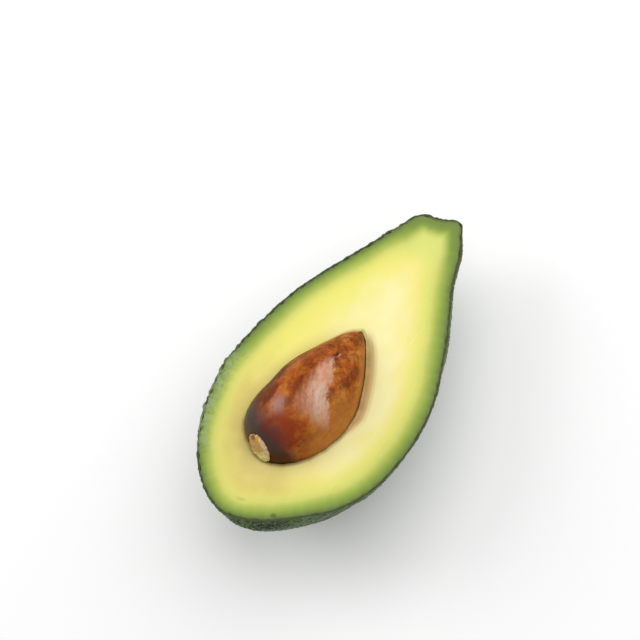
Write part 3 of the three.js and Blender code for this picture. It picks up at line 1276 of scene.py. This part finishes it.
@dataclass(frozen=True)
class SeedFinish:
    """Glossy seed coat: orange-brown, mottled red-brown, with a dark purplish foot."""

    tan: Colour = paint("c4803a")
    orange: Colour = paint("b05a14")
    brown: Colour = paint("94470f")
    red: Colour = paint("763010")
    dark: Colour = paint("401607")
    foot: Colour = paint("4a4036")
    plum: Colour = paint("523432")
    ember: Colour = paint("8c3220")
    pale: Colour = paint("d3a083")
    # Colours of painted highlights: a whitish core and a lilac glint.
    painted_highlight: Colour = paint("e0c9b6")
    painted_glint: Colour = paint("b08a7c")
    umber: Colour = paint("52290c")
    middle: float = 5.8
    patch_way: tuple[float, float] = (0.487, -0.874)
    tear_way: tuple[float, float] = (0.16, 0.987)
    grain: float = 0.45
    relief: float = 0.1

    def build(self) -> bpy.types.Material:
        """Returns the material."""
        finish = Finish(
            "seed_coat_skin", Specular_IOR_Level=0.08, Coat_Weight=0.08, Coat_Roughness=0.2
        )
        graph, here = finish.graph, finish.here
        x = graph.parts(here)[0]
        clouds = graph.noise(graph.stray(here, 6.0, 1.5) * (1.0, 0.7, 1.0), 5.0, 5.0, 0.65)
        ground = (clouds + x.step(-8.0, 12.0) * 0.08 - 0.03).ramp(
            ((0.36, self.red), (0.45, self.brown), (0.54, self.orange), (0.68, self.tan))
        )
        fibres, patches = self._worn_patches_and_highlights(graph, here, clouds)
        tear, flake = self._tear(graph, here)
        colour = ground.under(
            *self._mottling(graph, here, clouds),
            *self._foot(graph, here, clouds),
            *patches,
            (tear * 0.9, self.dark),
            (flake * 0.9, self.pale),
        )
        roughness = 0.32 + graph.noise(here, 3.0, 3.0) * 0.2
        grain = graph.noise(here, self.grain, 3.0, 0.6)
        height = grain * 0.6 + fibres * 0.5 - tear * 2.0
        return finish.surface(colour, roughness, height, self.relief)

    def _along(self, x: Wire, y: Wire, way: tuple[float, float]) -> tuple[Wire, Wire]:
        """How far a place is across and along a way over the seed, from its middle.

        Args:
            x: the place across the cut.
            y: the place along it.
            way: the way's heading.

        Returns:
            Across and along, in millimetres.
        """
        right, up = way
        return x * up - (y - self.middle) * right, x * right + (y - self.middle) * up

    def _mottling(self, graph: Graph, here: Wire, clouds: Wire) -> Coats:
        """Dark specks and blots, an umber left edge, and a tan lower right side: a tan edge low
        down, and painted light that lightens the shaded lower right flank.

        Args:
            graph: the tree to build in.
            here: the place on the cut's axes.
            clouds: a cloudy pattern, which makes the borders stray.

        Returns:
            Masks, each with the colour that it shows.
        """
        x, y, z = graph.parts(here)
        specks = graph.noise(graph.stray(here, 1.5, 0.6) * (1.0, 0.6, 1.0), 1.2, 5.0, 0.7)
        blots = graph.noise(graph.stray(here, 2.0, 0.8), 3.2, 4.0, 0.65).step(0.48, 0.62)
        upper = (x + y * 0.5).step(-20.0, 4.0) * y.step(-22.0, -4.0)
        dark = specks.step(0.50, 0.62).most(blots * 0.8) * 0.62 * upper
        left = (x + clouds * 6.0).step(-4.0, -11.0)
        # Painted light: the lower right flank faces down, away from the lamps, and is lightened
        # towards tan.
        painted_light_right = x.step(5.0, 11.0) * y.step(2.0, -8.0) * 0.6
        edge = (x + y * 0.35).step(5.5, 8.0) * z.step(5.5, 1.5) * 0.7
        return (dark, self.dark), (left * 0.85, self.umber), (painted_light_right.most(edge), self.tan)

    def _foot(self, graph: Graph, here: Wire, clouds: Wire) -> Coats:
        """A red glow above the dark purplish foot.

        Args:
            graph: the tree to build in.
            here: the place on the cut's axes.
            clouds: a cloudy pattern, which makes the borders stray.

        Returns:
            Masks, each with the colour that it shows.
        """
        x, y, z = graph.parts(here)
        spot = graph.join(x - 1.5, (y + 23.5) * 0.8, z - 12.0).length()
        embers = (spot + (clouds - 0.5) * 9.0).step(7.5, 2.5)
        down = x * -0.3 - y * 0.8
        plum = (down + (clouds - 0.5) * 9.0).step(17.5, 22.5)
        low = (down - z * 0.25 + (clouds - 0.5) * 8.0).step(18.5, 21.5)
        foot = z.step(8.0, 3.0).mix(self.foot, self.umber)
        return (embers * 0.75, self.ember), (plum * 0.8, self.plum), (low * 0.95, foot)

    def _worn_patches_and_highlights(self, graph: Graph, here: Wire, clouds: Wire) -> tuple[Wire, Coats]:
        """The pale, dry patch where the coat has worn, partly painted highlight as well, with a
        brighter painted highlight in its core and a painted lilac glint beside it.

        Args:
            graph: the finish's tree.
            here: the place on the cut's axes.
            clouds: the coat's cloudy pattern.

        Returns:
            The fibres, for the relief, and the coats of colour.
        """
        x, y, z = graph.parts(here)
        side, along = self._along(x, y, self.patch_way)
        streaks = graph.noise(graph.join(side, along * 0.35, z * 0.6), 1.7, 5.0, 0.65)
        fibres = graph.noise(graph.join(side, along * 0.3, z * 0.5), 0.8, 5.0, 0.75)
        stray = streaks - 0.5
        ragged = side + stray * 6.0
        brink = side + (fibres - 0.5) * 3.5 + (clouds - 0.5) * 5.0
        patch = brink.step(-0.4, 0.5) * (ragged - along * 0.55).step(3.5, -1.5)
        worn_and_highlit = patch * (along + ragged * 0.3).step(26.0, 18.0) * along.step(0.0, 2.0)
        # The pale patch is partly a paler dry coat and partly painted highlight.
        bright = (side + stray * 8.0).bell(2.5, 7.0) * 0.4 + fibres.step(0.35, 0.65) * 0.4 + 0.2
        # A brighter painted highlight in the patch's core.
        core = (side + stray * 4.0).bell(3.0, 3.6) * fibres.step(0.3, 0.55)
        highlight_core = worn_and_highlit * along.step(9.0, 15.0) * core
        # A painted lilac glint on the left of the seed.
        glint = ((side - 15.5) + stray * 5.0).bell(0.0, 3.6) * (along - 18.5).bell(0.0, 5.2)
        return fibres, (
            (worn_and_highlit * bright, self.pale),
            (highlight_core * 0.6, self.painted_highlight),
            (glint * 0.75, self.painted_glint),
        )

    def _tear(self, graph: Graph, here: Wire) -> tuple[Wire, Wire]:
        """The short tear in the coat, and the pale flake beside it, as masks.

        Args:
            graph: the tree to build in.
            here: the place on the cut's axes.

        Returns:
            The tear and the flake.
        """
        x, y, z = graph.parts(here)
        off, length = self._along(x, y, self.tear_way)
        jag = off + (graph.noise(here, 1.2, 3.0) - 0.5) * 2.0
        top = z.step(2.0, 6.0)
        tear = jag.bell(0.0, 0.5) * length.bell(0.0, 3.4) * top
        flake = (jag - 0.5).bell(0.0, 0.35) * (length - 0.3).bell(0.0, 1.4) * top
        return tear, flake


@dataclass
class Seed:
    """The whole seed in its thin papery coat."""

    finish: SeedFinish = field(default_factory=SeedFinish)
    voxel: float = 0.36
    rounds: int = 24
    flank_inset: float = 0.9
    waist_fill: float = 0.5

    def build(self) -> bpy.types.Object:
        """Builds the seed.

        Returns:
            The finished piece.
        """
        piece = Bench.copy(Node.SEED, "stone")
        Bench.remesh(piece, self.voxel)
        Bench.smooth(piece, self.rounds)
        self._relief().apply(piece)
        Bench.shade(piece)
        hand_over(piece, Node.SEED, self.finish.build())
        return piece

    def _relief(self) -> Relief:
        """The slight hills and creases of the seed coat.

        Returns:
            The relief, to be applied.
        """
        relief = Relief("seed_relief")
        graph, here = relief.graph, relief.here
        hills = (graph.noise(here * (1.0, 0.5, 1.0), 5.5, 2.0) - 0.5) * 0.35
        folds = (graph.noise(here * (1.0, 0.25, 1.0), 1.8, 2.0) - 0.5) * 0.12
        x, y, z = graph.parts(here)
        flank = Flesh.lip_of(graph, here) * z.span(-7.0, -3.0, 3.0, 9.0) * self.flank_inset
        top = y.step(12.0, 18.0) * x.step(-2.0, 3.0) * self.flank_inset
        filled = x.step(-9.0, -13.0) * (y + 13.0).bell(0.0, 9.0) * self.waist_fill
        relief.raise_by(hills + folds + filled - flank.most(top))
        return relief


@dataclass(frozen=True)
class ScrapPlan:
    """The scrap's own axes on the seed's base: a across it, b along it, both in millimetres."""

    centre: tuple[float, float, float] = (-4.3, -31.5, 4.8)
    tilt: float = 0.6
    half_width: float = 3.4
    half_length: float = 5.2

    def read(self, graph: Graph, here: Wire) -> tuple[Wire, Wire, Wire]:
        """Where a place is on the scrap.

        Args:
            graph: the tree that it is read in.
            here: the place on the cut's axes.

        Returns:
            Across, along, and how far out from the middle, 1 at the edge.
        """
        x, _, z = graph.parts(here - self.centre)
        across = x * math.cos(self.tilt) + z * math.sin(self.tilt)
        along = z * math.cos(self.tilt) - x * math.sin(self.tilt)
        wide, long = across * (1 / self.half_width), along * (1 / self.half_length)
        return across, along, graph.join(wide, long, 0.0).length()


@dataclass(frozen=True)
class ScrapFinish:
    """Tan papery scrap of seed coat: pale thick rim, brown hollow, mossy specks low down, and a
    pale straw low end that is partly painted light on its downward face.
    """

    tan: Colour = paint("d0a35c")
    pale: Colour = paint("e6c097")
    gold: Colour = paint("d8a818")
    # The low end's pale straw, partly its own olive-yellow and partly painted light.
    straw_and_painted_light: Colour = paint("fff0a0")
    brown: Colour = paint("8a5220")
    moss: Colour = paint("8f7f2c")
    fibre: float = 0.9
    relief: float = 0.15

    def build(self, plan: ScrapPlan) -> bpy.types.Material:
        """Makes the material.

        Args:
            plan: the scrap's own axes.

        Returns:
            The material.
        """
        finish = Finish("papery_coat", Specular_IOR_Level=0.4)
        graph, here = finish.graph, finish.here
        across, along, out = plan.read(graph, here)
        fibres = graph.noise(here, self.fibre, 4.0, 0.6)
        low = (along + (fibres - 0.5) * 3.0).step(1.0, -3.0)
        rim = (out + (fibres - 0.5) * 0.3).step(0.78, 0.94)
        right_rim = rim * (across + along * 0.2).step(0.2, 1.6)
        golden = (across - 1.6).bell(0.0, 1.0) * (along - 3.7).bell(0.0, 1.1) * 1.4
        pit = (across + 0.2 + (fibres - 0.5)).bell(0.0, 1.3) * (along - 3.9).bell(0.0, 1.2)
        specks = graph.noise(here, self.fibre, 3.0, 0.6).step(0.54, 0.64) * low
        # The low end faces down, away from the lamps; its pale straw colour is partly painted
        # light.
        colour = low.mix(self.tan, self.straw_and_painted_light).under(
            (right_rim * 0.8, self.pale),
            (golden.least(0.85), self.gold),
            ((pit * 1.5).least(0.9), self.brown),
            (specks * 0.8, self.moss),
        )
        return finish.surface(colour, 0.5 + fibres * 0.1, fibres, self.relief)


@dataclass
class SeedCoatScrap:
    """The torn scrap of seed coat that is left on the seed's base."""

    plan: ScrapPlan = field(default_factory=ScrapPlan)
    finish: ScrapFinish = field(default_factory=ScrapFinish)
    voxel: float = 0.15
    rounds: int = 3
    lump_height: float = 1.1
    rim_height: float = 0.4
    hollow_depth: float = 0.5

    def build(self) -> bpy.types.Object:
        """Builds the scrap.

        Returns:
            The finished piece.
        """
        piece = Bench.copy(Node.SCRAP, "coat_scrap")
        Bench.remesh(piece, self.voxel)
        Bench.smooth(piece, self.rounds)
        relief = Relief("scrap_relief")
        graph, here = relief.graph, relief.here
        across, along, out = self.plan.read(graph, here)
        rim = out.bell(0.86, 0.34) * (across + along * 0.5).step(-1.2, 1.2)
        hollow = (across + 0.2).bell(0.0, 1.6) * (along - 3.9).bell(0.0, 1.6)
        lumps = (graph.noise(here, 1.1, 4.0, 0.65) - 0.5) * self.lump_height
        uneven = graph.noise(here, 1.8, 2.0).step(0.3, 0.65) * self.rim_height
        relief.raise_by(lumps + rim * uneven - hollow * self.hollow_depth)
        relief.apply(piece)
        Bench.shade(piece)
        hand_over(piece, Node.SCRAP, self.finish.build(self.plan))
        return piece


@dataclass(frozen=True)
class ScarFinish:
    """Dry corky wood where the stem broke off."""

    wood: Colour = paint("b08d62")
    pale: Colour = paint("cdb083")
    crack: Colour = paint("5a3d22")
    fibre: float = 0.6
    relief: float = 0.12

    def build(self) -> bpy.types.Material:
        """Returns the material."""
        finish = Finish("corky_wood", Specular_IOR_Level=0.3)
        graph, here = finish.graph, finish.here
        fibres = graph.noise(here, self.fibre, 3.0)
        body = fibres.ramp(((0.35, self.wood), (0.65, self.pale)))
        colour = body.under((finish.kept("crack") * 0.8, self.crack))
        return finish.surface(colour, 0.75 + fibres * 0.1, fibres, self.relief)


@dataclass
class StemScar:
    """The corky button where the stem broke off."""

    finish: ScarFinish = field(default_factory=ScarFinish)
    voxel: float = 0.12
    rounds: int = 3
    cracks: int = 9
    crack_depth: float = 0.18
    lump_height: float = 0.45

    def build(self) -> bpy.types.Object:
        """Builds the scar.

        Returns:
            The finished piece.
        """
        piece = Bench.copy(Node.SCAR, "stem_button")
        low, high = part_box(Node.SCAR.value)
        middle = tuple((low + high) / (2 * MM))
        Bench.remesh(piece, self.voxel)
        Bench.smooth(piece, self.rounds)
        relief = Relief("scar_relief")
        graph = relief.graph
        across = relief.position * (1 / MM) - middle
        x, _, z = graph.parts(across)
        radius = (x * x + z * z).call("SQRT")
        turn = x.call("ARCTAN2", z) * (self.cracks / 2) + graph.noise(relief.here, 1.2) * 5.0
        crack = turn.call("SINE").call("ABSOLUTE").step(0.28, 0.0) * radius.step(0.3, 0.9)
        lumps = (graph.noise(relief.here, 0.9, 3.0) - 0.5) * self.lump_height
        relief.keep("crack", crack)
        relief.raise_by(lumps - crack * self.crack_depth)
        relief.apply(piece)
        Bench.shade(piece)
        hand_over(piece, Node.SCAR, self.finish.build())
        return piece


@dataclass(frozen=True)
class Lamp:
    """A soft box: its heading and distance from the fruit, its width, in metres, and power."""

    name: str
    towards: tuple[float, float, float]
    distance: float
    width: float
    power: float


@dataclass
class Studio:
    """A white table, soft lights, and the camera that looks down on the cut face."""

    right: tuple[float, float, float] = (0.7864, 0.5849, -0.1984)
    up: tuple[float, float, float] = (-0.4913, 0.7870, 0.3731)
    aim_right: float = -3.83
    aim_up: float = 18.86
    lens: float = 200.0
    distance: float = 1104.0
    floor_width: float = 6.0
    white: Colour = paint("f6f6f6")
    table_glow: float = 0.12
    room_light: float = 0.36
    clip: tuple[float, float] = (0.01, 50.0)
    lamp_height: float = 0.03
    lamps: tuple[Lamp, ...] = (
        Lamp("overhead", (0.15, 0.55, 0.78), 0.9, 1.4, 8.4),
        Lamp("side", (-0.80, -0.15, 0.55), 0.8, 0.5, 2.1),
    )

    def build(self) -> None:
        """Adds the floor, the lights, the camera and the surroundings."""
        self._floor()
        self._lights()
        self._camera()
        self._surroundings()

    def _axes(self) -> tuple[Vector, Vector, Vector]:
        """The camera's right, up and back in the row's frame.

        Returns:
            The three axes.
        """
        right = Vector(self.right).normalized()
        up = Vector(self.up)
        up = (up - right * up.dot(right)).normalized()
        return tuple(CUT.turn @ axis for axis in (right, up, right.cross(up)))

    def _camera(self) -> None:
        """Adds the camera."""
        right, up, back = self._axes()
        data = bpy.data.cameras.new("camera")
        data.lens = self.lens
        data.clip_start, data.clip_end = self.clip
        camera = bpy.data.objects.new("camera", data)
        aim = CUT.point(0.0, 0.0, 0.0) + (right * self.aim_right + up * self.aim_up) * MM
        turn = Matrix((right, up, back)).transposed().to_4x4()
        camera.matrix_world = Matrix.Translation(aim + back * self.distance * MM) @ turn
        bpy.context.scene.collection.objects.link(camera)
        bpy.context.scene.camera = camera

    def _floor(self) -> None:
        """Adds the table top."""
        bpy.ops.mesh.primitive_plane_add(size=self.floor_width, location=(0.0, 0.0, 0.0))
        floor = bpy.context.object
        floor.name = "table_top"
        table = Finish(
            "white_table",
            Base_Color=self.white,
            Roughness=0.6,
            Specular_IOR_Level=0.2,
            Emission_Color=self.white,
            Emission_Strength=self.table_glow,
        )
        floor.data.materials.append(table.material)

    def _lights(self) -> None:
        """Adds two soft boxes."""
        for lamp in self.lamps:
            data = bpy.data.lights.new(lamp.name, "AREA")
            data.size = lamp.width
            data.energy = lamp.power
            box = bpy.data.objects.new(lamp.name, data)
            heading = Vector(lamp.towards).normalized()
            box.location = heading * lamp.distance + Vector((0.0, 0.0, self.lamp_height))
            box.rotation_euler = heading.to_track_quat("Z", "Y").to_euler()
            bpy.context.scene.collection.objects.link(box)

    def _surroundings(self) -> None:
        """Adds the soft white room light."""
        world = bpy.data.worlds.new("room")
        world.use_nodes = True
        background = world.node_tree.nodes["Background"]
        background.inputs["Color"].default_value = (1.0, 1.0, 1.0, 1.0)
        background.inputs["Strength"].default_value = self.room_light
        bpy.context.scene.world = world
        bpy.context.scene.view_settings.view_transform = "Standard"


def main() -> None:
    """Builds every piece, then the studio."""
    logging.basicConfig(level=logging.INFO, format="%(message)s")
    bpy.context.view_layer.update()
    peel = Peel()
    outside, inside = peel.split()
    stone_guide = Bench.copy(Node.SEED, "stone_guide")
    Flesh().build(outside, stone_guide)
    bpy.data.objects.remove(stone_guide)
    peel.build(outside, inside)
    Seed().build()
    SeedCoatScrap().build()
    StemScar().build()
    Studio().build()


if __name__ == "__main__":
    main()
